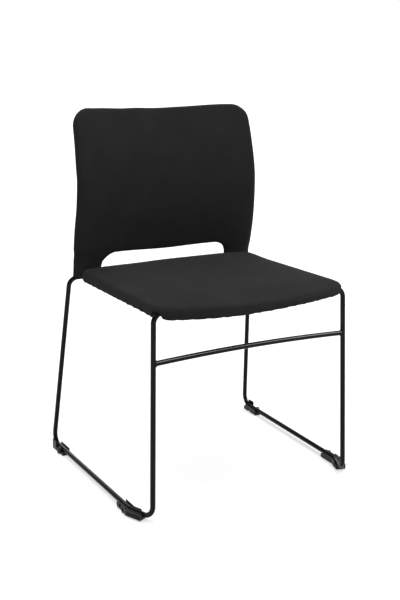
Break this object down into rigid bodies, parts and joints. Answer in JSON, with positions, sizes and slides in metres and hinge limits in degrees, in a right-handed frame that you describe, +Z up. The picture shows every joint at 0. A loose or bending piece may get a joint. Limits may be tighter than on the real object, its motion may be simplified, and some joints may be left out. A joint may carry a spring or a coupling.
{
  "type": "stacking chair",
  "caption": "Armless stacking chair: bent steel rod sled frame with a stretcher, thin upholstered seat and back with a hand hold between them, clip-on linking glides.",
  "frame": {"origin": "on the floor, under the middle of the chair's bounding box", "axes": "+Z up, +Y towards the back of the chair, +X to the sitter's left, which is the viewer's right from in front"},
  "size_m": [0.5751, 0.5274, 0.8188],
  "materials": {
    "rod_enamel": "semi-matt black powder coat",
    "shell_plastic": "moulded polypropylene, fine grain",
    "foam": "thin moulded foam, hidden under the covers",
    "cover_fabric": "tightly woven black upholstery cloth",
    "insert_brass": "plain brass thread inserts",
    "screw_steel": "zinc-plated steel",
    "glide_plastic": "moulded black nylon",
    "bumper_rubber": "moulded black rubber"
  },
  "bodies": {
    "root": {"left_frame_rod": "rod_enamel", "right_frame_rod": "rod_enamel", "front_stretcher": "rod_enamel", "left_seat_rail": "rod_enamel", "right_seat_rail": "rod_enamel", "seat_shell": "shell_plastic", "back_shell": "shell_plastic", "seat_foam": "foam", "back_front_foam": "foam", "back_rear_foam": "foam", "seat_cover": "cover_fabric", "back_cover_front": "cover_fabric", "back_cover_rear": "cover_fabric", "seat_inserts": "insert_brass", "back_inserts": "insert_brass", "seat_screws": "screw_steel", "seat_washers": "screw_steel", "back_screws": "screw_steel", "cover_staples": "screw_steel", "front_left_glide": "glide_plastic", "front_right_glide": "glide_plastic", "rear_left_glide": "glide_plastic", "rear_right_glide": "glide_plastic", "front_left_bumper": "bumper_rubber", "front_right_bumper": "bumper_rubber", "rear_left_bumper": "bumper_rubber", "rear_right_bumper": "bumper_rubber"}
  },
  "joints": []
}
